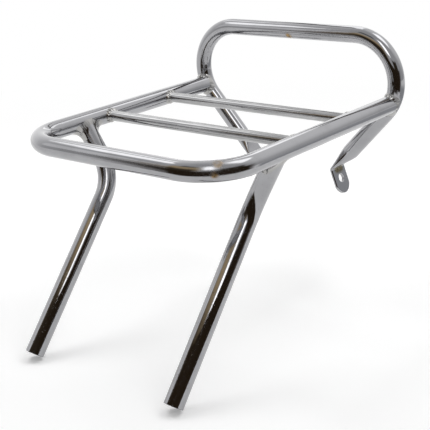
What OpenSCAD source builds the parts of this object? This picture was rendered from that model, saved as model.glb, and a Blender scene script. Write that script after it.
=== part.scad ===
// Small motorcycle luggage rack, welded from bent chrome-plated steel tube.
// Millimetres. +X is the rider's side-to-side axis, the platform's free front end points along -Y,
// the backrest hoop stands in the plane y = 0, and +Z is up. The origin lies midway between the two
// bolt holes from which the rack hangs. Each tube is a path of corner points with one bend radius.

/* [Platform rail] */
// Distance between the centre lines of the two side rails
rail_span = 208; // [180:1:240]
// Distance from the front rail's centre line to the plane of the hoop
rail_reach = 247; // [220:1:290]
// Centre-line radius of the two front corners
corner_r = 40; // [30:1:50]
// Outside diameter of the rail tube
rail_d = 16; // [14:0.5:18]
// Wall of the rail tube
rail_wall = 1.5; // [1:0.1:2.5]

/* [Crossbars] */
// Diameter of the two solid crossbars
bar_d = 9.5; // [8:0.5:12]
// Distance from the front rail to the front crossbar, between centre lines
front_bar_at = 101; // [95:1:115]
// Distance from the front rail to the rear crossbar, between centre lines
rear_bar_at = 182; // [165:1:195]

/* [Backrest hoop] */
// Outside diameter of the hoop tube
hoop_d = 15; // [13:0.5:16]
// Wall of the hoop tube
hoop_wall = 1.4; // [1:0.1:2]
// How far the hoop's widest points stand outside the centre lines of the side rails
hoop_bulge = 4; // [2:0.5:8]
// Centre-line radius of the hoop's two side bends
hoop_bend_r = 41; // [36:1:48]
// Angle below the horizontal at which a side bend runs out into its strut
hoop_sweep = 42; // [34:1:48]
// Length of a strut, from the side bend to the fold of its tab
strut_len = 76; // [66:1:90]

/* [Bolt tabs] */
// Width of the flattened tube end
tab_w = 22; // [18:0.5:23.5]
// Length of strut over which the tube is pressed flat
press_len = 22; // [16:1:30]
// Angle by which a tab leans outward from the vertical
tab_lean = 20; // [10:1:28]
// Length of a tab, from its fold to its rounded tip
tab_len = 25.5; // [23:0.5:30]
// Distance from the fold to the centre of the bolt hole
hole_at = 11; // [10:0.1:13]
// Diameter of the bolt hole
hole_d = 8.5; // [6.5:0.5:9]
// Radius inside the fold
fold_inside_r = 1.2; // [0.8:0.1:2]

/* [Legs] */
// Outside diameter of the leg tube
leg_d = 16; // [14:0.5:18]
// Wall of the leg tube
leg_wall = 1.5; // [1:0.1:2.5]
// Distance from the front rail to the leg joints, between centre lines
leg_at = 72; // [64:1:80]
// How far inside its rail the lower part of a leg runs, between centre lines
leg_inset = 27; // [18:1:36]
// How far the corner of a leg's bend lies behind the leg joint
leg_setback = 3; // [0:0.5:8]
// How far the corner of a leg's bend lies below the platform
leg_drop = 47; // [42:1:58]
// Centre-line radius of the leg's bend
leg_bend_r = 42; // [34:1:46]
// Angle of the lower part of a leg from the vertical
leg_rake = 41; // [30:1:50]
// Length of a leg, from the corner of its bend to the cut end
leg_len = 167; // [120:1:200]

/* [Welds] */
// Height to which a weld bead stands on the tube that carries the joint
bead = 2; // [1.5:0.1:2.5]
// Radius of the hollow fillet between a leg and the underside of its rail
leg_fillet = 7; // [5:0.5:9]

/* [Hidden] */

$fn = 72;
left = -1;
right = 1;

// Drawn tube is a hair thicker where it has been bent or pressed, and the thinner stretch laps into it
swell = 0.01;
lap = 0.1;

// Platform, in a frame whose height is zero at the tubes' centre lines
rail_x = rail_span / 2;
front_y = -rail_reach;
rail_r = rail_d / 2;
bar_r = bar_d / 2;

// Hoop: each side bend crosses its rail's centre line at the height of the platform
hoop_r = hoop_d / 2;
bend_x = rail_x + hoop_bulge - hoop_bend_r;
bend_z = sqrt(pow(hoop_bend_r, 2) - pow(hoop_bend_r - hoop_bulge, 2));
strut_dir = [-sin(hoop_sweep), 0, -cos(hoop_sweep)];
strut_top = [bend_x, 0, bend_z] + hoop_bend_r * [cos(hoop_sweep), 0, -sin(hoop_sweep)];
hoop_corner = strut_top - strut_dir * hoop_bend_r * tan((90 + hoop_sweep) / 2);

// Tab: the tube's two walls pressed together, then folded about a line along Y
tab_t = 2 * hoop_wall;
tab_dir = [sin(tab_lean), 0, -cos(tab_lean)];
fold_r = fold_inside_r + tab_t / 2;
fold_back = fold_r * tan((hoop_sweep + tab_lean) / 2);
fold_at = strut_top + strut_dir * strut_len;
press_at = fold_at - strut_dir * (fold_back + press_len);
hole_centre = fold_at + tab_dir * hole_at;
// The tip's radius is slightly over half the tab's width, so that the tip meets the sides at a corner
tip_r = 0.53 * tab_w;
press_rings = 8;
press_sides = 32;
// The pressed end's polygon stands this far outside the round tube, so that it takes the tube in
press_swell = 0.05;
// Share of the pressed length at which the tube's bore has closed
bore_end = 0.85;

// Leg: an upper part that leans inward, a bend, and a lower part that runs forward and down
leg_r = leg_d / 2;
leg_top = [rail_x, front_y + leg_at, 0];
leg_corner = leg_top + [-leg_inset, leg_setback, -leg_drop];
leg_foot = leg_corner + leg_len * [0, -sin(leg_rake), -cos(leg_rake)];
leg_run = (leg_corner - leg_top) / norm(leg_corner - leg_top);

// Share of a carrying tube's radius at which the tube welded to it stops short of its centre line
cope = 0.6;
// Share of that radius at which a weld bead starts
bead_start = 0.25;
// The bead's growth on the joining tube, less than on the carrying tube
bead_side = 0.8 * bead;
// Thickness of the leg weld on the sides of the leg that face across the rail, and at its thin edges
leg_weld_side = bead / 2;
leg_weld_edge = 0.15 * bead;

// Height of the platform above the bolt holes
platform_z = -hole_centre.z;

function unit(v) = v / norm(v);
function turn(before, after) = acos(before * after);
function heading(path, i) = unit(path[i + 1] - path[i]);
// A direction square to v
function beside(v) = unit(cross(v, abs(v.z) < 0.9 ? [0, 0, 1] : [1, 0, 0]));

// Length that the bend at corner i takes from each of its two straight runs
function bend_back(path, i, bend_r) =
    i == 0 || i == len(path) - 1 ? 0 : bend_r * tan(turn(heading(path, i - 1), heading(path, i)) / 2) - lap;

// Carries the children's origin, X and Z to a point and two directions
module place(at, x_dir, z_dir) {
    y_dir = cross(z_dir, x_dir);
    multmatrix([
        [x_dir.x, y_dir.x, z_dir.x, at.x],
        [x_dir.y, y_dir.y, z_dir.y, at.y],
        [x_dir.z, y_dir.z, z_dir.z, at.z]
    ])
        children();
}

// Keeps the children on the right, or mirrors them to the left
module on_side(side) {
    if (side == left)
        mirror([1, 0, 0])
            children();
    else
        children();
}

// Sweeps a profile round one corner: its X points away from the bend's centre, its Y along the axis
module elbow(corner, before, after, bend_r) {
    axis = unit(cross(before, after));
    outward = cross(before, axis);
    centre = corner - before * bend_r * tan(turn(before, after) / 2) - outward * bend_r;
    place(centre, outward, axis)
        rotate_extrude(angle = turn(before, after))
            translate([bend_r, 0])
                children();
}

// Round bar along a path of corners
module rod(path, bend_r, radius) {
    last = len(path) - 1;
    for (i = [0 : last - 1]) {
        run = heading(path, i);
        start = path[i] + run * bend_back(path, i, bend_r);
        end = path[i + 1] - run * bend_back(path, i + 1, bend_r);
        place(start, beside(run), run)
            cylinder(r = radius, h = norm(end - start));
    }
    for (i = [1 : 1 : last - 1])
        elbow(path[i], heading(path, i - 1), heading(path, i), bend_r)
            circle(r = radius + swell);
}

// Platform rail as a solid bar; its ends stop short of the hoop's centre line
module rail_bar(grow = 0, stop = cope) {
    end_y = -stop * hoop_r;
    path = [[-rail_x, end_y, 0], [-rail_x, front_y, 0], [rail_x, front_y, 0], [rail_x, end_y, 0]];
    rod(path, corner_r, rail_r + grow);
}

// Straight side of the platform rail, on the right
module side_bar(grow = 0, stop = cope) {
    translate([rail_x, -stop * hoop_r, 0])
        rotate([90, 0, 0])
            cylinder(r = rail_r + grow, h = rail_reach - corner_r - stop * hoop_r);
}

// Round part of the hoop as a solid bar, from one pressed end to the other
module hoop_bar(grow = 0) {
    end = press_at + strut_dir * lap;
    half = [hoop_corner, end];
    mirrored = [for (p = [end, hoop_corner]) [-p.x, p.y, p.z]];
    rod(concat(mirrored, half), hoop_bend_r, hoop_r + grow);
}

// Side bend of the hoop, on the right
module hoop_bend(grow = 0) {
    elbow(hoop_corner, [1, 0, 0], strut_dir, hoop_bend_r)
        circle(r = hoop_r + swell + grow);
}

// Crossbar at a distance from the front rail, as a plain bar between the rails' centre lines
module cross_bar(at, grow = 0) {
    translate([-rail_x, front_y + at, 0])
        rotate([0, 90, 0])
            cylinder(r = bar_r + grow, h = rail_span);
}

// Right leg as a solid bar, starting short of its rail's centre line and running past its foot
module leg_bar(grow = 0, stop = cope, past = 0) {
    start = leg_top + leg_run * stop * rail_r;
    end = leg_foot + unit(leg_foot - leg_corner) * past;
    rod([start, leg_corner, end], leg_bend_r, leg_r + grow);
}

// Top of the right leg, as a plain bar that reaches past the rail's weld
module leg_stub() {
    place(leg_top, beside(leg_run), leg_run)
        cylinder(r = leg_r, h = rail_r + leg_fillet + bead);
}

// Ring round the top of the right leg: a hollow fillet along the rail, and thin sides across it
module leg_fillet_ring() {
    start = bead_start * rail_r;
    width = leg_r / 2 + leg_fillet;
    height = rail_r + leg_fillet - start;
    place(leg_top, unit(cross([0, 1, 0], leg_run)), leg_run)
        intersection() {
            rotate_extrude()
                difference() {
                    translate([leg_r / 2, start])
                        square([width, height]);
                    translate([leg_r / 2 + width, start + height] + leg_weld_edge * [1, 1])
                        circle(r = leg_fillet);
                }
            cube([2 * (leg_r + leg_weld_side), 4 * width, 4 * height], center = true);
        }
}

// Flat bar with half-round edges, which is a circle where the two sizes are equal
function flat_ring(half_w, half_t, height) = [
    for (i = [0 : press_sides - 1])
        let (a = 360 * (i + 0.5) / press_sides)
        [sign(cos(a)) * (half_w - half_t) + half_t * cos(a), half_t * sin(a), height]
];

// Round tube going flat along +Z, with its outer surface set in by a skin
module pressed_loft(skin, until) {
    rings = [
        for (k = [0 : press_rings])
            let (t = until * k / press_rings, ease = t * t * (3 - 2 * t))
            flat_ring(
                hoop_r + (tab_w / 2 - hoop_r) * ease + press_swell - skin,
                hoop_r + (tab_t / 2 - hoop_r) * ease + press_swell - skin,
                (press_len + lap) * t
            )
    ];
    n = press_sides;
    walls = [
        for (k = [0 : press_rings - 1], i = [0 : n - 1])
            [k * n + i, (k + 1) * n + i, (k + 1) * n + (i + 1) % n, k * n + (i + 1) % n]
    ];
    first = [for (i = [0 : n - 1]) i];
    top = [for (i = [n - 1 : -1 : 0]) press_rings * n + i];
    polyhedron(points = [for (r = rings) each r], faces = concat([first, top], walls), convexity = 4);
}

// Section of the flattened end: its X is the thickness, its Y the width
module tab_section(grow = 0) {
    edge_r = tab_t / 2 + grow;
    square([2 * edge_r, tab_w - tab_t], center = true);
    for (side = [left, right])
        translate([0, side * (tab_w - tab_t) / 2])
            circle(r = edge_r);
}

// Tab below its fold, along +Z with its width along X, tip rounded and bolt hole punched
module tab_plate() {
    plate_len = tab_len - fold_back;
    difference() {
        intersection() {
            translate([0, 0, -lap])
                linear_extrude(plate_len + lap)
                    rotate(90)
                        tab_section();
            rotate([90, 0, 0])
                linear_extrude(2 * tab_t, center = true)
                    union() {
                        translate([0, plate_len - tip_r])
                            circle(r = tip_r);
                        translate([-tip_r, -tip_r])
                            square([2 * tip_r, plate_len]);
                    }
        }
        translate([0, 0, hole_at - fold_back])
            rotate([90, 0, 0])
                cylinder(d = hole_d, h = 2 * tab_t, center = true);
    }
}

// Everything below the round part of the right strut, before its bore is cut
module tab_end() {
    place(press_at, [0, 1, 0], strut_dir)
        pressed_loft(0, 1);
    elbow(fold_at, strut_dir, tab_dir, fold_r)
        tab_section(swell);
    place(fold_at + tab_dir * fold_back, [0, 1, 0], tab_dir)
        tab_plate();
}

module main_rail() {
    color("silver")
        difference() {
            rail_bar();
            rail_bar(-rail_wall, cope / 2);
            for (side = [left, right])
                on_side(side)
                    hoop_bend();
        }
}

module backrest_hoop() {
    color("silver")
        difference() {
            union() {
                hoop_bar();
                for (side = [left, right])
                    on_side(side)
                        tab_end();
            }
            hoop_bar(-hoop_wall);
            for (side = [left, right])
                on_side(side)
                    place(press_at, [0, 1, 0], strut_dir)
                        pressed_loft(hoop_wall, bore_end);
        }
}

module crossbar(at) {
    color("gainsboro")
        difference() {
            cross_bar(at);
            for (side = [left, right])
                on_side(side)
                    side_bar();
        }
}

module leg(side) {
    color("gray")
        on_side(side)
            difference() {
                leg_bar();
                leg_bar(-leg_wall, 0, leg_wall);
                side_bar();
            }
}

module crossbar_weld(at, side) {
    color("darkgray")
        on_side(side)
            difference() {
                intersection() {
                    cross_bar(at, bead_side);
                    side_bar(bead);
                    translate([0, front_y + at - rail_d, -rail_d])
                        cube([rail_x, 2 * rail_d, 2 * rail_d]);
                }
                cross_bar(at);
                side_bar();
            }
}

module leg_weld(side) {
    color("darkgray")
        on_side(side)
            difference() {
                leg_fillet_ring();
                leg_stub();
                side_bar();
            }
}

module hoop_weld(side) {
    color("darkgray")
        on_side(side)
            difference() {
                intersection() {
                    side_bar(bead_side, bead_start);
                    hoop_bend(bead);
                }
                side_bar();
                hoop_bend();
            }
}

translate([0, 0, platform_z]) {
    main_rail();
    backrest_hoop();
    crossbar(front_bar_at);  // crossbar_front
    crossbar(rear_bar_at);  // crossbar_rear
    leg(left);  // leg_left
    leg(right);  // leg_right
    crossbar_weld(front_bar_at, left);  // weld_crossbar_front_left
    crossbar_weld(front_bar_at, right);  // weld_crossbar_front_right
    crossbar_weld(rear_bar_at, left);  // weld_crossbar_rear_left
    crossbar_weld(rear_bar_at, right);  // weld_crossbar_rear_right
    leg_weld(left);  // weld_leg_left
    leg_weld(right);  // weld_leg_right
    hoop_weld(left);  // weld_hoop_left
    hoop_weld(right);  // weld_hoop_right
}
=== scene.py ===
"""A small motorcycle luggage rack: bent tube, flattened bolt tabs, welds and worn chrome plating."""

import math

import bmesh
import bpy
import numpy as np
from mathutils import Matrix, Vector


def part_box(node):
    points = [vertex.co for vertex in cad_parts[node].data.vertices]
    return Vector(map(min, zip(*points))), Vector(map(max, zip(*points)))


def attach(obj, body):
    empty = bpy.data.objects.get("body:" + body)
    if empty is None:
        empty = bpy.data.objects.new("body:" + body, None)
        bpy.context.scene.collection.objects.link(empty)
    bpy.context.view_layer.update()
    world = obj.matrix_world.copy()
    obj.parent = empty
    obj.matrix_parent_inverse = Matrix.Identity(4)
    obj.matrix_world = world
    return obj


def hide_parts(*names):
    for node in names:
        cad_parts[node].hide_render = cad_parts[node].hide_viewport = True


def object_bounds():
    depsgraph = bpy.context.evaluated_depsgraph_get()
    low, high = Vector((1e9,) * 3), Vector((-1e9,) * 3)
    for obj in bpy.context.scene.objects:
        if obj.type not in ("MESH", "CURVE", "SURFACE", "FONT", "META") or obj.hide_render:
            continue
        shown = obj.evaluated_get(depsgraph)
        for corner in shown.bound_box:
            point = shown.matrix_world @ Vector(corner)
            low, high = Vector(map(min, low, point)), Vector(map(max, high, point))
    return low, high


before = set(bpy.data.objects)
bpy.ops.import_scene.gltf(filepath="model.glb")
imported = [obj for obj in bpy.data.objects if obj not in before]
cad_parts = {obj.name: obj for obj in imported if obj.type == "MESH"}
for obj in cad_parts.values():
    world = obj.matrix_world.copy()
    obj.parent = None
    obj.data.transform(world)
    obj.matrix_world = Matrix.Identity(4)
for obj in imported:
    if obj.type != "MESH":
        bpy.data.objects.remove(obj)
CAD_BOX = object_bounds()

MM = 0.001
SIDES = ((-1, "left"), (1, "right"))

# Sizes of the tubes and of their paths, in metres, in the frame's own axes
RAIL_R = 8.0 * MM
RAIL_WALL = 1.5 * MM
CORNER_R = 40.0 * MM
HOOP_R = 7.5 * MM
HOOP_BEND_R = 41.0 * MM
HOOP_BULGE = 4.0 * MM
HOOP_SWEEP = math.radians(42)
STRUT_LEN = 76.0 * MM
PRESS_LEN = 22.0 * MM
TAB_W = 22.0 * MM
TAB_T = 2.8 * MM
TAB_LEAN = math.radians(20)
TAB_LEN = 25.5 * MM
TAB_TIP_R = 0.53 * TAB_W
HOLE_AT = 11.0 * MM
HOLE_R = 4.25 * MM
FOLD_R = 2.6 * MM
BAR_R = 4.75 * MM
LEG_R = 8.0 * MM
LEG_WALL = 1.5 * MM
LEG_AT = 72.0 * MM
LEG_INSET = 27.0 * MM
LEG_SETBACK = 3.0 * MM
LEG_DROP = 47.0 * MM
LEG_BEND_R = 42.0 * MM
LEG_RAKE = math.radians(41)
LEG_LEN = 167.0 * MM

# Where a welded tube stops short of the carrying tube's centre line, as a share of its radius
COPE = 0.6

# How much a leg stops short of the CAD's, whose coarser circle reaches a little less far out
END_EASE = 0.03 * MM

# Each kind of weld: its least and greatest reach, how hollow it is, and its ripples' number and height
BAR_WELD = (2.6 * MM, 3.2 * MM, 0.2, 9, 0.75 * MM)
LEG_WELD = (2.4 * MM, 10.0 * MM, 0.8, 17, 0.12 * MM)
HOOP_WELD = (2.8 * MM, 3.4 * MM, 0.15, 11, 0.6 * MM)

# How deep the hidden edges of a weld are sunk into the tubes
WELD_SINK = 0.4 * MM

# How far in towards the carrying tube's centre line a weld can start, as a share of its radius
WELD_SEAT = 0.7 * COPE

# How much a weld spreads back along the branch's axis for each step that it takes away from the branch
WELD_SPREAD = 0.3

# Waves round a weld that make it uneven, and their shares of its reach and of its ripples' height
LUMP_WAVES = (2, 3, 5, 8, 13)
LUMP_REACH = 0.12
LUMP_HEIGHT = 0.25

# Fineness of the meshes
TUBE_SIDES = 64
BAR_SIDES = 48
BAR_STATIONS = 90
HOLE_SIDES = 72
WELD_SECTIONS = 288
WELD_ARC_POINTS = 9
PATH_STEP = 3.0 * MM

# Edges whose faces turn by more than this are shaded sharp
SHARP = math.radians(32)

ALONG_Y = np.array([0, 1.0, 0])
UP = np.array([0, 0, 1.0])
MIRROR = np.array([-1, 1, 1])

RAIL_LOW, RAIL_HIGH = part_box("main_rail")
RAIL_X = RAIL_HIGH.x - RAIL_R
RAIL_Z = (RAIL_LOW.z + RAIL_HIGH.z) / 2
FRONT_Y = RAIL_LOW.y + RAIL_R


def unit(v):
    return v / np.linalg.norm(v)


# Places on the right of the rack, worked out from the sizes
BEND_X = RAIL_X + HOOP_BULGE - HOOP_BEND_R
BEND_Z = RAIL_Z + math.sqrt(HOOP_BEND_R**2 - (HOOP_BEND_R - HOOP_BULGE) ** 2)
STRUT_DIR = np.array([-math.sin(HOOP_SWEEP), 0, -math.cos(HOOP_SWEEP)])
TAB_DIR = np.array([math.sin(TAB_LEAN), 0, -math.cos(TAB_LEAN)])
STRUT_TOP = np.array(
    [BEND_X + HOOP_BEND_R * math.cos(HOOP_SWEEP), 0, BEND_Z - HOOP_BEND_R * math.sin(HOOP_SWEEP)]
)
HOOP_CORNER = STRUT_TOP - STRUT_DIR * HOOP_BEND_R * math.tan((math.pi / 2 + HOOP_SWEEP) / 2)
FOLD_AT = STRUT_TOP + STRUT_DIR * STRUT_LEN
FOLD_BACK = FOLD_R * math.tan((HOOP_SWEEP + TAB_LEAN) / 2)
PRESS_AT = FOLD_AT - STRUT_DIR * (FOLD_BACK + PRESS_LEN)
LEG_TOP = np.array([RAIL_X, FRONT_Y + LEG_AT, RAIL_Z])
LEG_CORNER = LEG_TOP + np.array([-LEG_INSET, LEG_SETBACK, -LEG_DROP])
LEG_FOOT = LEG_CORNER + LEG_LEN * np.array([0, -math.sin(LEG_RAKE), -math.cos(LEG_RAKE)])
LEG_AXIS = unit(LEG_CORNER - LEG_TOP)


def add_mesh(name, verts, faces):
    mesh = bpy.data.meshes.new(name)
    mesh.from_pydata([tuple(v) for v in verts], [], faces)
    mesh.validate()
    piece = bpy.data.objects.new(name, mesh)
    bpy.context.scene.collection.objects.link(piece)
    shade_by_angle(piece)
    return piece


def shade_by_angle(piece):
    """Smooth faces, with the edges where they turn sharply kept sharp."""
    work = bmesh.new()
    work.from_mesh(piece.data)
    bmesh.ops.recalc_face_normals(work, faces=work.faces)
    for face in work.faces:
        face.smooth = True
    for edge in work.edges:
        edge.smooth = len(edge.link_faces) == 2 and edge.calc_face_angle(0) < SHARP
    work.to_mesh(piece.data)
    work.free()


def bent_path(corners, bend_r):
    """Points and headings along straight runs joined by arcs, about a path step apart."""
    corners = [np.array(c, float) for c in corners]
    points, headings = [], []

    def run(start, end, heading):
        count = max(2, round(np.linalg.norm(end - start) / PATH_STEP))
        for t in np.linspace(0, 1, count, endpoint=False):
            points.append(start + (end - start) * t)
            headings.append(heading)

    start = corners[0]
    for i in range(1, len(corners) - 1):
        before = unit(corners[i] - corners[i - 1])
        after = unit(corners[i + 1] - corners[i])
        turn = math.acos(np.clip(before @ after, -1, 1))
        back = bend_r * math.tan(turn / 2)
        axis = unit(np.cross(before, after))
        inward = np.cross(axis, before)
        bend_start = corners[i] - before * back
        centre = bend_start + inward * bend_r
        run(start, bend_start, before)
        count = max(8, round(bend_r * turn / PATH_STEP))
        for t in np.linspace(0, turn, count, endpoint=False):
            points.append(centre + bend_r * (before * math.sin(t) - inward * math.cos(t)))
            headings.append(before * math.cos(t) + inward * math.sin(t))
        start = corners[i] + after * back
    after = unit(corners[-1] - corners[-2])
    run(start, corners[-1], after)
    points.append(corners[-1])
    headings.append(after)
    return np.array(points), np.array(headings)


def round_rings(points, headings, normal, radius, sides=TUBE_SIDES):
    """One ring of points round each path point; the path lies in a plane square to the normal."""
    turns = np.linspace(0, 2 * math.pi, sides, endpoint=False)
    rings = []
    for point, heading in zip(points, headings):
        across = np.cross(heading, normal)
        rings.append(point + radius * (np.cos(turns)[:, None] * across + np.sin(turns)[:, None] * normal))
    return rings


def skin(rings, closed=False):
    """Quads between neighbouring rings of the same count."""
    sides = len(rings[0])
    last = len(rings) if closed else len(rings) - 1
    faces = []
    for k in range(last):
        a, b = k * sides, ((k + 1) % len(rings)) * sides
        for i in range(sides):
            j = (i + 1) % sides
            faces.append((a + i, a + j, b + j, b + i))
    return faces


def hollow_tube(name, outer, inner):
    """A tube whose outer and inner rings meet in a flat rim at each end."""
    rings = list(outer) + list(inner[::-1])
    return add_mesh(name, np.concatenate(rings), skin(rings, closed=True))


def solid_bar(name, rings):
    sides = len(rings[0])
    faces = skin(rings)
    faces.append(tuple(range(sides)))
    faces.append(tuple(range((len(rings) - 1) * sides, len(rings) * sides)))
    return add_mesh(name, np.concatenate(rings), faces)


def make_rail():
    y_end = -COPE * HOOP_R
    corners = [
        (-RAIL_X, y_end, RAIL_Z),
        (-RAIL_X, FRONT_Y, RAIL_Z),
        (RAIL_X, FRONT_Y, RAIL_Z),
        (RAIL_X, y_end, RAIL_Z),
    ]
    points, headings = bent_path(corners, CORNER_R)
    outer = round_rings(points, headings, UP, RAIL_R)
    inner = round_rings(points, headings, UP, RAIL_R - RAIL_WALL)
    for rings in (outer, inner):
        for end in (0, -1):
            cope_to_hoop(rings[end])
    return hollow_tube("rail_tube", outer, inner)


def cope_to_hoop(ring):
    """Moves the points of a rail's end ring along Y onto the hoop's side bend."""
    for p in ring:
        from_centre = math.hypot(abs(p[0]) - BEND_X, p[2] - BEND_Z) - HOOP_BEND_R
        depth = math.sqrt(max(HOOP_R**2 - from_centre**2, 0))
        p[1] = -max(depth, COPE * HOOP_R)


def flat_section(half_w, half_t):
    """A flat bar's outline with half-round edges: widths in the first column, thickness in the second."""
    turns = 2 * math.pi * (np.arange(TUBE_SIDES) + 0.5) / TUBE_SIDES
    straight = np.sign(np.cos(turns)) * (half_w - half_t)
    return np.stack([straight + half_t * np.cos(turns), half_t * np.sin(turns)], 1)


def flat_ring(centre, heading, half_w, half_t):
    """The flat bar's outline round a path point, with its width along Y."""
    thick = np.cross(heading, ALONG_Y)
    outline = flat_section(half_w, half_t)
    return centre + outline[:, :1] * ALONG_Y + outline[:, 1:] * thick


def press_ease(t):
    """Share of the flattening done at a share t of the pressed length."""
    smooth = t * t * (3 - 2 * t)
    return 0.55 * t + 0.45 * smooth


def pressed_rings():
    """Rings over which the right strut goes from round to flat."""
    rings = []
    for t in np.linspace(0, 1, 30):
        done = press_ease(t)
        half_w = HOOP_R + (TAB_W / 2 - HOOP_R) * done
        half_t = HOOP_R + (TAB_T / 2 - HOOP_R) * done
        rings.append(flat_ring(PRESS_AT + STRUT_DIR * PRESS_LEN * t, STRUT_DIR, half_w, half_t))
    return rings


def fold_rings():
    """Rings round the fold between the right strut and its tab."""
    outward = unit(TAB_DIR - STRUT_DIR * (TAB_DIR @ STRUT_DIR))
    centre = FOLD_AT - STRUT_DIR * FOLD_BACK + outward * FOLD_R
    rings = []
    for t in np.linspace(0, HOOP_SWEEP + TAB_LEAN, 12)[1:]:
        heading = STRUT_DIR * math.cos(t) + outward * math.sin(t)
        at = centre + FOLD_R * (STRUT_DIR * math.sin(t) - outward * math.cos(t))
        rings.append(flat_ring(at, heading, TAB_W / 2, TAB_T / 2))
    return rings


def tab_rings():
    """Rings from the fold down the right tab to its rounded tip."""
    tip_centre = TAB_LEN - TAB_TIP_R
    first = math.acos(TAB_W / 2 / TAB_TIP_R)
    last = math.acos(TAB_T / 2 / TAB_TIP_R)
    rings = []
    for length in np.linspace(FOLD_BACK, tip_centre + TAB_TIP_R * math.sin(first), 14)[1:]:
        rings.append(flat_ring(FOLD_AT + TAB_DIR * length, TAB_DIR, TAB_W / 2, TAB_T / 2))
    for t in np.linspace(first, last, 22)[1:]:
        length = tip_centre + TAB_TIP_R * math.sin(t)
        rings.append(flat_ring(FOLD_AT + TAB_DIR * length, TAB_DIR, TAB_TIP_R * math.cos(t), TAB_T / 2))
    return rings


def make_hoop():
    corners = [PRESS_AT * MIRROR, HOOP_CORNER * MIRROR, HOOP_CORNER, PRESS_AT]
    points, headings = bent_path(corners, HOOP_BEND_R)
    middle = [flat_ring(point, heading, HOOP_R, HOOP_R) for point, heading in zip(points, headings)]
    right = pressed_rings() + fold_rings() + tab_rings()
    left = [match_ring(ring * MIRROR, middle[0]) for ring in right]
    piece = solid_bar("hoop_tube", left[:0:-1] + middle[:-1] + right)
    for side, _ in SIDES:
        punch_hole(piece, side)
    shade_by_angle(piece)
    return piece


def match_ring(ring, reference):
    """The ring with its points in the order and from the start that lie nearest the reference's."""
    centre = ring.mean(0)
    base = reference - reference.mean(0)
    best = None
    for points in (ring, ring[::-1]):
        for shift in range(len(points)):
            rolled = np.roll(points, shift, axis=0)
            cost = ((rolled - centre - base) ** 2).sum()
            if best is None or cost < best[0]:
                best = (cost, rolled)
    return best[1]


def punch_hole(piece, side):
    """Cuts the bolt hole through a tab."""
    bpy.ops.mesh.primitive_cylinder_add(vertices=HOLE_SIDES, radius=HOLE_R, depth=4 * TAB_T)
    cutter = bpy.context.active_object
    centre = (FOLD_AT + TAB_DIR * HOLE_AT) * np.array([side, 1, 1])
    normal = Vector((side * math.cos(TAB_LEAN), 0, math.sin(TAB_LEAN)))
    cutter.matrix_world = Matrix.Translation(centre) @ normal.to_track_quat("Z", "Y").to_matrix().to_4x4()
    cut = piece.modifiers.new("hole", "BOOLEAN")
    cut.operation = "DIFFERENCE"
    cut.solver = "EXACT"
    cut.object = cutter
    bpy.context.view_layer.update()
    evaluated = piece.evaluated_get(bpy.context.evaluated_depsgraph_get())
    mesh = bpy.data.meshes.new_from_object(evaluated)
    piece.modifiers.clear()
    piece.data = mesh
    bpy.data.objects.remove(cutter)


def make_crossbar(name, y):
    """A rod whose end rings lie on the side rails, with no other ring near them."""
    clear = RAIL_X - 0.7 * RAIL_R - BAR_R
    evenly = np.linspace(-RAIL_X, RAIL_X, BAR_STATIONS)
    stations = [-RAIL_X] + [x for x in evenly if abs(x) < clear] + [RAIL_X]
    points = [np.array([x, y, RAIL_Z]) for x in stations]
    headings = [np.array([1.0, 0, 0])] * len(points)
    rings = round_rings(points, headings, UP, BAR_R, BAR_SIDES)
    for ring, side in ((rings[0], -1), (rings[-1], 1)):
        for p in ring:
            p[0] = side * (RAIL_X - math.sqrt(RAIL_R**2 - (p[2] - RAIL_Z) ** 2))
    return solid_bar(name, rings)


def make_leg(name, side):
    start = LEG_TOP + LEG_AXIS * COPE * RAIL_R
    foot = LEG_FOOT - unit(LEG_FOOT - LEG_CORNER) * END_EASE
    points, headings = bent_path([start, LEG_CORNER, foot], LEG_BEND_R)
    normal = unit(np.cross(LEG_AXIS, LEG_FOOT - LEG_CORNER))
    outer = round_rings(points, headings, normal, LEG_R)
    inner = round_rings(points, headings, normal, LEG_R - LEG_WALL)
    for rings in (outer, inner):
        rings[0] = np.array([out_of_rail(p, LEG_AXIS, 0) for p in rings[0]])
    outer = [ring * np.array([side, 1, 1]) for ring in outer]
    inner = [ring * np.array([side, 1, 1]) for ring in inner]
    return hollow_tube(name, outer, inner)


def out_of_rail(p, axis, least):
    """Slides a point along an axis out of the right rail, or by the least length where that is more."""
    flat = np.array([axis[0], axis[2]])
    gap = np.array([p[0] - RAIL_X, p[2] - RAIL_Z])
    a, b, c = flat @ flat, 2 * flat @ gap, gap @ gap - RAIL_R**2
    reach = (-b + math.sqrt(max(b * b - 4 * a * c, 0))) / (2 * a)
    return p + axis * max(reach, least)


def onto_rail(p, axis):
    """Slides a point along an axis out of the right rail, no further in than a weld's seat."""
    return out_of_rail(p, axis, WELD_SEAT * RAIL_R)


def onto_hoop(p, axis):
    """Slides a point forward out of the hoop's right side bend, no further in than a weld's seat."""
    from_centre = math.hypot(p[0] - BEND_X, p[2] - BEND_Z) - HOOP_BEND_R
    depth = math.sqrt(max(HOOP_R**2 - from_centre**2, 0))
    return np.array([p[0], -max(depth, WELD_SEAT * HOOP_R), p[2]])


def rail_surface(p):
    """The nearest point of the right rail's surface, and its normal."""
    normal = unit(np.array([p[0] - RAIL_X, 0, p[2] - RAIL_Z]))
    return np.array([RAIL_X, p[1], RAIL_Z]) + normal * RAIL_R, normal


def hoop_surface(p):
    """The nearest point of the surface of the hoop's right side bend, and its normal."""
    centre = np.array([BEND_X, 0, BEND_Z])
    out = unit(np.array([p[0] - BEND_X, 0, p[2] - BEND_Z]))
    on_line = centre + out * HOOP_BEND_R
    normal = unit(p - on_line)
    return on_line + normal * HOOP_R, normal


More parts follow.
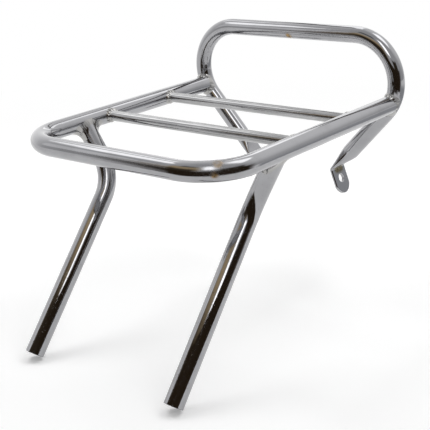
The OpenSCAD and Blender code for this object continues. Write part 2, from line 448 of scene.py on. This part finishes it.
class Joint:
    """A round branch welded onto a carrying tube, on the right of the rack."""

    def __init__(self, origin, axis, branch_r, meet, surface):
        self.origin, self.axis, self.branch_r = origin, axis, branch_r
        self.meet, self.surface = meet, surface
        hint = np.array([0.0, 1.0, 0.0]) if abs(axis[1]) < 0.9 else np.array([1.0, 0.0, 0.0])
        self.side_a = unit(hint - axis * (hint @ axis))
        self.side_b = np.cross(axis, self.side_a)

    def section(self, turn, reach, hollow, proud):
        """The weld's outline at one turn round the branch, from under the carrier to under the branch."""
        radial = math.cos(turn) * self.side_a + math.sin(turn) * self.side_b
        corner = self.meet(self.origin + radial * self.branch_r, self.axis)
        normal = self.surface(corner)[1]
        away = radial - WELD_SPREAD * self.axis
        away = unit(away - normal * (away @ normal))
        low, low_normal = self.surface(corner + away * reach)
        high = corner + self.axis * reach
        control = corner + (1 - hollow) * ((low + high) / 2 - corner)
        outward = unit(radial + low_normal)
        points = [low - low_normal * WELD_SINK - away * WELD_SINK]
        for t in np.linspace(0, 1, WELD_ARC_POINTS):
            on_arc = low * (1 - t) ** 2 + control * 2 * t * (1 - t) + high * t * t
            points.append(on_arc + outward * proud * math.sin(math.pi * t))
        points.append(high - radial * WELD_SINK)
        points.append(corner - (radial + low_normal) * WELD_SINK)
        return points


def make_weld(name, joint, side, kind, seed):
    """A rippled weld all round a joint, larger where the branch's side faces along the carrying tube."""
    small, large, hollow, ripples, height = kind
    phase = np.random.default_rng(seed).uniform(0, 2 * math.pi, len(LUMP_WAVES) + 1)
    rings = []
    for i in range(WELD_SECTIONS):
        turn = 2 * math.pi * i / WELD_SECTIONS
        lump = sum(math.sin(k * turn + phase[j]) / (j + 2) for j, k in enumerate(LUMP_WAVES))
        along = math.cos(turn) ** 2
        reach = (small + (large - small) * along) * (1 + LUMP_REACH * lump)
        crest = abs(math.sin(ripples * turn / 2 + 0.7 * math.sin(2 * turn + phase[-1]))) ** 0.7
        proud = height * (1 + LUMP_HEIGHT * lump) * crest
        rings.append(joint.section(turn, reach, hollow, proud))
    verts = np.concatenate(rings) * np.array([side, 1, 1])
    return add_mesh(name, verts, skin(rings, closed=True))


def make_welds():
    """The eight welds as (piece, node it stands for)."""
    joints = []
    for place in ("front", "rear"):
        low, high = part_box(f"crossbar_{place}")
        origin = np.array([RAIL_X, (low.y + high.y) / 2, RAIL_Z])
        bar = Joint(origin, np.array([-1.0, 0, 0]), BAR_R, onto_rail, rail_surface)
        joints.append((f"weld_crossbar_{place}", bar, BAR_WELD))
    joints.append(("weld_leg", Joint(LEG_TOP, LEG_AXIS, LEG_R, onto_rail, rail_surface), LEG_WELD))
    rail_end = np.array([RAIL_X, 0, RAIL_Z])
    joints.append(("weld_hoop", Joint(rail_end, -ALONG_Y, RAIL_R, onto_hoop, hoop_surface), HOOP_WELD))
    welds = []
    for number, (node, joint, kind) in enumerate(joints):
        for side, label in SIDES:
            bead = make_weld(f"bead_{node}_{label}", joint, side, kind, seed=20 * number + 7 + side)
            welds.append((bead, f"{node}_{label}"))
    return welds


class Nodes:
    """An emptied node tree with short calls for building it."""

    def __init__(self, tree):
        tree.nodes.clear()
        self.tree = tree

    def add(self, kind, **settings):
        node = self.tree.nodes.new(kind)
        for key, value in settings.items():
            setattr(node, key, value)
        return node

    def link(self, source, target):
        self.tree.links.new(source, target)


def new_material(name):
    material = bpy.data.materials.new(name)
    material.use_nodes = True
    return material, Nodes(material.node_tree)


def end_with(nodes, surface, kind="ShaderNodeOutputMaterial"):
    nodes.link(surface, nodes.add(kind).inputs["Surface"])


def object_position(nodes):
    return nodes.add("ShaderNodeTexCoord").outputs["Object"]


def glow(nodes, color=(1, 1, 1), strength=1.0, kind="ShaderNodeEmission"):
    node = nodes.add(kind)
    node.inputs["Color"].default_value = (*color, 1)
    node.inputs["Strength"].default_value = strength
    return node


def mix_shaders(nodes, factor, a, b):
    mix = nodes.add("ShaderNodeMixShader")
    nodes.link(factor, mix.inputs[0])
    nodes.link(a, mix.inputs[1])
    nodes.link(b, mix.inputs[2])
    return mix.outputs[0]


def noise(nodes, vector, scale, detail, roughness=0.55):
    texture = nodes.add("ShaderNodeTexNoise")
    texture.inputs["Scale"].default_value = scale
    texture.inputs["Detail"].default_value = detail
    texture.inputs["Roughness"].default_value = roughness
    nodes.link(vector, texture.inputs["Vector"])
    return texture.outputs["Fac"]


def ramp(nodes, value, low, high, to_low=0.0, to_high=1.0):
    span = nodes.add("ShaderNodeMapRange", interpolation_type="SMOOTHSTEP")
    span.inputs["From Min"].default_value = low
    span.inputs["From Max"].default_value = high
    span.inputs["To Min"].default_value = to_low
    span.inputs["To Max"].default_value = to_high
    nodes.link(value, span.inputs["Value"])
    return span.outputs["Result"]


def math_node(nodes, operation, a, b):
    node = nodes.add("ShaderNodeMath", operation=operation)
    for socket, value in zip(node.inputs, (a, b)):
        if isinstance(value, (int, float)):
            socket.default_value = value
        else:
            nodes.link(value, socket)
    return node.outputs[0]


def vector_node(nodes, operation, a, b):
    """A vector operation between a linked vector and a constant one."""
    node = nodes.add("ShaderNodeVectorMath", operation=operation)
    nodes.link(a, node.inputs[0])
    node.inputs[1].default_value = tuple(b)
    return node.outputs["Value"]


def mix_color(nodes, factor, a, b):
    node = nodes.add("ShaderNodeMix", data_type="RGBA")
    nodes.link(factor, node.inputs["Factor"])
    for socket, value in ((node.inputs[6], a), (node.inputs[7], b)):
        if isinstance(value, tuple):
            socket.default_value = (*value, 1)
        else:
            nodes.link(value, socket)
    return node.outputs[2]


def darker(color, share):
    return tuple(c * share for c in color)


def spot(nodes, position, centre, reach, ragged):
    """A mask that is 1 at a place on the object and falls to 0 at its reach, with a ragged edge."""
    wobble = math_node(nodes, "MULTIPLY", ragged, reach * 1.1)
    uneven = math_node(nodes, "ADD", vector_node(nodes, "DISTANCE", position, centre), wobble)
    uneven = math_node(nodes, "SUBTRACT", uneven, reach * 0.55)
    return ramp(nodes, uneven, reach * 0.35, reach, 1.0, 0.0)


def add_stains_and_painted_shade(nodes, position, ragged, color, stains_and_shade):
    """The colour with speckled deposits and painted shade laid over it, and a mask of where they lie."""
    speck = ramp(nodes, noise(nodes, position, 650, 4), 0.35, 0.62)
    patchy = ramp(nodes, ragged, 0.30, 0.58, 0.35, 1.0)
    stain_and_shade_mask = 0.0
    # Each entry is a real deposit, except the painted shade and reflection under the right tab's fold
    for centre, reach, strength, tone in stains_and_shade:
        mask = math_node(nodes, "MULTIPLY", spot(nodes, position, centre, reach, ragged), strength)
        deposit_and_shade = mix_color(nodes, speck, tone, darker(tone, 0.4))
        color = mix_color(nodes, math_node(nodes, "MULTIPLY", mask, patchy), color, deposit_and_shade)
        stain_and_shade_mask = math_node(nodes, "MAXIMUM", stain_and_shade_mask, mask)
    return color, stain_and_shade_mask


def chrome_relief(nodes, position, along, pits, wave):
    """The surface's normal: soft waves from the bent tube, fine scratches and pits."""
    waves = nodes.add("ShaderNodeBump")
    waves.inputs["Strength"].default_value = 1.0
    waves.inputs["Distance"].default_value = wave
    nodes.link(noise(nodes, position, 70, 2, 0.4), waves.inputs["Height"])
    fine = nodes.add("ShaderNodeBump")
    fine.inputs["Strength"].default_value = 0.35
    fine.inputs["Distance"].default_value = 0.01 * MM
    relief = math_node(nodes, "ADD", noise(nodes, along, 900, 3), math_node(nodes, "MULTIPLY", pits, 6.0))
    nodes.link(relief, fine.inputs["Height"])
    nodes.link(waves.outputs["Normal"], fine.inputs["Normal"])
    return fine.outputs["Normal"]


def chrome(
    name,
    tint,
    stains_and_shade=(),
    rubbed=(),
    grain=(1.0, 1.0, 1.0),
    drawn=0.0,
    pitted_from=0.70,
    polish=0.07,
    wave=0.06 * MM,
):
    """Worn plating over steel.

    Stains, and painted shade laid on in the same way, are (centre, reach, strength, tone) and rubbed
    places (centre, reach, added roughness).
    The grain scales the noise of the scratches along each axis, and drawn is how dark its streaks are.
    The fewer pits, the higher pitted_from; polish is the roughness and wave the height of the waves.
    """
    material, nodes = new_material(name)
    position = object_position(nodes)
    stretch = nodes.add("ShaderNodeMapping")
    stretch.inputs["Scale"].default_value = grain
    nodes.link(position, stretch.inputs["Vector"])
    along = stretch.outputs["Vector"]

    film = ramp(nodes, noise(nodes, position, 42, 6), 0.42, 0.70)
    haze = ramp(nodes, noise(nodes, along, 260, 4), 0.45, 0.75)
    pits = ramp(nodes, noise(nodes, position, 900, 2), pitted_from, pitted_from + 0.06)
    ragged = noise(nodes, position, 210, 5, 0.7)

    streaks = ramp(nodes, noise(nodes, along, 620, 3, 0.7), 0.36, 0.64)
    color = mix_color(nodes, streaks, darker(tint, 1 - drawn), tint)
    color = mix_color(nodes, film, color, darker(tint, 0.90 * (1 - drawn / 2)))
    color, stain_and_shade_mask = add_stains_and_painted_shade(nodes, position, ragged, color, stains_and_shade)
    color = mix_color(nodes, math_node(nodes, "MULTIPLY", pits, 0.5), color, PIT)

    rough = ramp(nodes, math_node(nodes, "ADD", film, haze), 0.0, 2.0, polish * 0.7, polish * 1.9)
    # Where the stains and the painted shade lie, the chrome is also rougher
    if stains_and_shade:
        rough = math_node(nodes, "ADD", rough, math_node(nodes, "MULTIPLY", stain_and_shade_mask, 0.30))
    for centre, reach, extra in rubbed:
        worn = math_node(nodes, "MULTIPLY", spot(nodes, position, centre, reach, ragged), extra)
        rough = math_node(nodes, "ADD", rough, worn)

    shader = nodes.add("ShaderNodeBsdfPrincipled")
    shader.inputs["Metallic"].default_value = 1.0
    nodes.link(color, shader.inputs["Base Color"])
    nodes.link(rough, shader.inputs["Roughness"])
    nodes.link(chrome_relief(nodes, position, along, pits, wave), shader.inputs["Normal"])
    end_with(nodes, shader.outputs["BSDF"])
    return material


# Chrome tints, what lies on them, and the painted shade under the right tab's fold
TUBE = (0.375, 0.375, 0.388)
ROD = (0.46, 0.46, 0.465)
BEAD = (0.385, 0.38, 0.372)
GOLD = (0.42, 0.25, 0.06)
# Painted shade: dark olive that stands for the shade and reflection under the right tab's fold
PAINTED_FOLD_SHADE = (0.24, 0.20, 0.105)
PIT = (0.12, 0.10, 0.08)

# Deposits that the photograph shows: on the front right corner, and under the hoop's top bar
CORNER_STAINS = [
    (np.array([96.4, -237.3, 83.3]) * MM, 5.0 * MM, 0.6, GOLD),
    (np.array([96.7, -242.1, 76.2]) * MM, 3.8 * MM, 0.9, GOLD),
]
CORNER_RUBBED = [(np.array([93, -235, 80]) * MM, 26 * MM, 0.13)]
TOP_BAR_STAIN = (np.array([0, -6.1, 130.9]) * MM, 4.5 * MM, 0.8, GOLD)


def painted_shade_under_fold():
    """Painted shade and reflection across the right tab, just under its fold, as three spots that run
    together.
    """
    middle = FOLD_AT + TAB_DIR * 1.8 * MM + np.array([1.5 * MM, 0, 0])
    beside = ALONG_Y * 4.0 * MM
    return [
        (middle - beside, 4.6 * MM, 0.95, PAINTED_FOLD_SHADE),
        (middle, 5.2 * MM, 0.95, PAINTED_FOLD_SHADE),
        (middle + beside, 4.6 * MM, 0.95, PAINTED_FOLD_SHADE),
    ]


STUDIO_CENTRE = Vector((0, -0.13, 0.0))

# The photograph's view, in the frame's axes; angles in degrees
VIEW_AZIMUTH = 39.499
VIEW_ELEVATION = 19.497
VIEW_ROLL = -3.188
VIEW_DISTANCE = 827.0 * MM
VIEW_TARGET = Vector((10.756, -139.784, -0.75)) * MM
VIEW_LENS = 80.61

# Light that the floor gets from all round
AMBIENT = 0.50

# Glow that brings the lit floor up to the white of the background, where it shows
FLOOR_LIFT = 0.22
FLOOR_SIZE = 12.0
PAPER = (0.93, 0.93, 0.93)

# Distances from the studio's centre between which the floor turns into plain white
FLOOR_FADE = (0.35, 1.1)

# The dome is grey in front of the rack and pale round two directions behind it
DOME_RADIUS = 2.6
DOME_FRONT = (0.58, 0.58, 0.59)
DOME_BACK = (1.2, 1.2, 1.2)


def grey(level):
    return (level, level, level)


# Cards: name, azimuths, elevations, distance, colour, and the shares of width and height that fade out.
# The dark ones stand for the room in front of the rack, and the bright ones for its lamps and windows.
CARDS = [
    ("card_room", (-43, 116), (-11, 22.5), 0.54, (0.036, 0.024, 0.014), (0.14, 0.08)),
    ("card_bench", (-42, 28), (8, 45), 0.56, (0.050, 0.038, 0.026), (0.28, 0.42)),
    ("card_person", (46, 98), (6, 35), 0.60, (0.044, 0.032, 0.021), (0.2, 0.15)),
    ("card_stand", (-24, 100), (-8, 24.5), 0.33, (0.032, 0.021, 0.012), (0.28, 0.06)),
    ("card_wood", (-40, 30), (18, 58), 0.60, (0.56, 0.43, 0.26), (0.2, 0.35)),
    ("card_corner", (-40, -8), (0, 40), 1.2, (0.20, 0.155, 0.11), (0.3, 0.15)),
    ("card_beam", (-36, 14), (46, 64), 1.4, grey(0.2), (0.2, 0.15)),
    ("card_low_wall", (104, 200), (-9, 12), 0.34, (0.50, 0.51, 0.53), (0.15, 0.3)),
    ("card_lamp_front", (23, 53), (30, 66), 1.3, grey(3.4), (0.34, 0.2)),
    ("card_lamp_left", (267, 304), (42, 63), 0.78, grey(2.3), (0.2, 0.2)),
    ("card_window", (182, 205), (36, 70), 0.5, grey(2.1), (0.12, 0.15)),
    ("card_frame", (204, 211), (34, 70), 0.49, grey(0.05), (0.2, 0.1)),
    ("card_strip", (242, 254), (36, 58), 1.6, grey(2.3), (0.25, 0.2)),
    ("card_wall_left", (292, 332), (16, 38), 1.7, (1.05, 1.05, 1.06), (0.25, 0.15)),
    ("card_lamp_right", (104, 172), (48, 78), 1.5, grey(2.6), (0.15, 0.2)),
    ("card_rail_dark", (188, 228), (31.5, 35.5), 1.6, grey(0.22), (0.1, 0.3)),
    ("card_rail_light", (186, 228), (20.5, 26), 1.6, grey(2.0), (0.1, 0.3)),
]

# Points along each side of a card
CARD_STEPS = 24


def towards(azimuth, elevation=0.0):
    """A direction out of the studio's centre; azimuth 0 faces the free end of the platform."""
    a, e = math.radians(azimuth), math.radians(elevation)
    return Vector((math.sin(a) * math.cos(e), -math.cos(a) * math.cos(e), math.sin(e)))


def feathered_emitter(name, color, feather):
    """A glow that fades out towards the card's edges, over shares of its width and height."""
    material, nodes = new_material(name)
    split = nodes.add("ShaderNodeSeparateXYZ")
    nodes.link(nodes.add("ShaderNodeTexCoord").outputs["UV"], split.inputs[0])
    mask = 1.0
    for axis, share in enumerate(feather):
        from_start = ramp(nodes, split.outputs[axis], 0.0, share)
        to_end = ramp(nodes, split.outputs[axis], 1.0 - share, 1.0, 1.0, 0.0)
        mask = math_node(nodes, "MULTIPLY", mask, from_start)
        mask = math_node(nodes, "MULTIPLY", mask, to_end)
    clear = nodes.add("ShaderNodeBsdfTransparent")
    end_with(nodes, mix_shaders(nodes, mask, clear.outputs[0], glow(nodes, color).outputs[0]))
    return material


def studio_card(name, azimuths, elevations, distance, color, feather):
    """A curved card round the studio's centre, which only the chrome reflects."""
    verts, uvs = [], []
    for u in np.arange(CARD_STEPS + 1) / CARD_STEPS:
        for v in np.arange(CARD_STEPS + 1) / CARD_STEPS:
            azimuth = azimuths[0] + (azimuths[1] - azimuths[0]) * u
            elevation = elevations[0] + (elevations[1] - elevations[0]) * v
            verts.append(STUDIO_CENTRE + towards(azimuth, elevation) * distance)
            uvs.append((u, v))
    row = CARD_STEPS + 1
    faces = []
    for i in range(CARD_STEPS):
        for k in range(i * row, i * row + CARD_STEPS):
            faces.append((k, k + row, k + row + 1, k + 1))
    card = stage_mesh(name, verts, faces, feathered_emitter(name, color, feather))
    layer = card.data.uv_layers.new(name="UV")
    for loop in card.data.loops:
        layer.data[loop.index].uv = uvs[loop.vertex_index]
    only_reflected(card)


def stage_mesh(name, verts, faces, material):
    mesh = bpy.data.meshes.new(name)
    mesh.from_pydata([tuple(v) for v in verts], [], faces)
    mesh.materials.append(material)
    holder = bpy.data.objects.new(name, mesh)
    bpy.context.scene.collection.objects.link(holder)
    return holder


def only_reflected(card):
    card.visible_camera = False
    card.visible_diffuse = False
    card.visible_shadow = False
    card.visible_transmission = False
    card.visible_volume_scatter = False


def studio_dome():
    """The studio's walls and ceiling as the chrome sees them."""
    bpy.ops.mesh.primitive_uv_sphere_add(
        segments=96, ring_count=48, radius=DOME_RADIUS, location=STUDIO_CENTRE
    )
    dome = bpy.context.active_object
    dome.name = "dome"
    material, nodes = new_material("dome")
    direction = nodes.add("ShaderNodeVectorMath", operation="NORMALIZE")
    nodes.link(object_position(nodes), direction.inputs[0])
    facing_low = vector_node(nodes, "DOT_PRODUCT", direction.outputs[0], towards(228))
    facing_high = vector_node(nodes, "DOT_PRODUCT", direction.outputs[0], towards(165, 45))
    low = ramp(nodes, facing_low, -0.1, 1.0)
    high = ramp(nodes, facing_high, 0.6, 1.0)
    behind = math_node(nodes, "MAXIMUM", low, math_node(nodes, "MULTIPLY", high, 0.8))
    light = glow(nodes)
    nodes.link(mix_color(nodes, behind, DOME_FRONT, DOME_BACK), light.inputs["Color"])
    end_with(nodes, light.outputs[0])
    dome.data.materials.append(material)
    only_reflected(dome)


def overhead_lamp(name, azimuth, elevation, distance, size, power):
    """A soft rectangular lamp aimed at the object; the chrome sees its card instead."""
    lamp = bpy.data.lights.new(name, "AREA")
    lamp.shape = "RECTANGLE"
    lamp.size, lamp.size_y = size
    lamp.energy = power
    holder = bpy.data.objects.new(name, lamp)
    bpy.context.scene.collection.objects.link(holder)
    away = towards(azimuth, elevation)
    holder.location = STUDIO_CENTRE + away * distance
    holder.rotation_euler = away.to_track_quat("Z", "Y").to_euler()
    holder.visible_camera = False
    holder.visible_glossy = False


def shown_rays(nodes):
    """1 for the rays in which the plain background shows."""
    path = nodes.add("ShaderNodeLightPath")
    shown = math_node(nodes, "MAXIMUM", path.outputs["Is Camera Ray"], path.outputs["Is Glossy Ray"])
    return math_node(nodes, "MAXIMUM", shown, path.outputs["Is Transmission Ray"])


def make_world():
    world = bpy.data.worlds.new("studio")
    bpy.context.scene.world = world
    world.use_nodes = True
    nodes = Nodes(world.node_tree)
    light = glow(nodes, strength=AMBIENT, kind="ShaderNodeBackground")
    shown = glow(nodes, kind="ShaderNodeBackground")
    surface = mix_shaders(nodes, shown_rays(nodes), light.outputs[0], shown.outputs[0])
    end_with(nodes, surface, "ShaderNodeOutputWorld")


def floor_material(z):
    material, nodes = new_material("floor")
    paper = nodes.add("ShaderNodeBsdfDiffuse")
    paper.inputs["Color"].default_value = (*PAPER, 1)
    middle = (STUDIO_CENTRE.x, STUDIO_CENTRE.y, z)
    fade = ramp(nodes, vector_node(nodes, "DISTANCE", object_position(nodes), middle), *FLOOR_FADE)
    plain = mix_shaders(nodes, fade, paper.outputs[0], glow(nodes).outputs[0])
    lift = glow(nodes)
    near = math_node(nodes, "SUBTRACT", 1.0, fade)
    shown = math_node(nodes, "MULTIPLY", shown_rays(nodes), near)
    nodes.link(math_node(nodes, "MULTIPLY", shown, FLOOR_LIFT), lift.inputs["Strength"])
    both = nodes.add("ShaderNodeAddShader")
    nodes.link(plain, both.inputs[0])
    nodes.link(lift.outputs[0], both.inputs[1])
    end_with(nodes, both.outputs[0])
    return material


def make_floor():
    """A pale floor that keeps the shadow near the object and runs out into the white background."""
    z = CAD_BOX[0][2]
    verts = [
        (-FLOOR_SIZE, -FLOOR_SIZE, z),
        (FLOOR_SIZE, -FLOOR_SIZE, z),
        (FLOOR_SIZE, FLOOR_SIZE, z),
        (-FLOOR_SIZE, FLOOR_SIZE, z),
    ]
    stage_mesh("floor", verts, [(0, 1, 2, 3)], floor_material(z))


def make_camera():
    camera = bpy.data.cameras.new("camera")
    camera.lens = VIEW_LENS
    camera.clip_start = 0.01
    holder = bpy.data.objects.new("camera", camera)
    bpy.context.scene.collection.objects.link(holder)
    back = towards(VIEW_AZIMUTH, VIEW_ELEVATION)
    right = towards(VIEW_AZIMUTH + 90)
    up = back.cross(right)
    turn = Matrix((right, up, back)).transposed() @ Matrix.Rotation(math.radians(VIEW_ROLL), 3, "Z")
    place = turn.to_4x4()
    place.translation = VIEW_TARGET + back * VIEW_DISTANCE
    holder.matrix_world = place
    bpy.context.scene.camera = holder


def make_studio():
    make_camera()
    make_world()
    make_floor()
    studio_dome()
    for card in CARDS:
        studio_card(*card)
    overhead_lamp("lamp_right", 138, 62, 1.5, (0.9, 0.6), 6)
    overhead_lamp("lamp_left", 270, 60, 1.5, (0.9, 0.6), 6)


def dress(piece, node, material):
    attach(piece, "root")
    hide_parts(node)
    piece.data.materials.clear()
    piece.data.materials.append(material)


def make_rack():
    rail_chrome = chrome("rail_chrome", TUBE, stains_and_shade=CORNER_STAINS, rubbed=CORNER_RUBBED)
    # The hoop's colour carries painted shade and reflection under its right tab's fold, beside a real
    # stain under its top bar
    hoop_chrome = chrome("hoop_chrome", TUBE, stains_and_shade=painted_shade_under_fold() + [TOP_BAR_STAIN])
    bar_chrome = chrome("bar_chrome", ROD, grain=(0.03, 1, 1), drawn=0.34, polish=0.10, wave=0.1 * MM)
    leg_chrome = chrome("leg_chrome", TUBE, pitted_from=0.65, wave=0.1 * MM)
    weld_chrome = chrome("weld_metal", BEAD, polish=0.12, wave=0.3 * MM)

    dress(make_rail(), "main_rail", rail_chrome)
    dress(make_hoop(), "backrest_hoop", hoop_chrome)
    for place in ("front", "rear"):
        low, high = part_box(f"crossbar_{place}")
        bar = make_crossbar(f"bar_{place}", (low.y + high.y) / 2)
        dress(bar, f"crossbar_{place}", bar_chrome)
    for side, label in SIDES:
        dress(make_leg(f"leg_tube_{label}", side), f"leg_{label}", leg_chrome)
    for bead, node in make_welds():
        dress(bead, node, weld_chrome)


bpy.context.scene.view_settings.view_transform = "Standard"
make_studio()
make_rack()
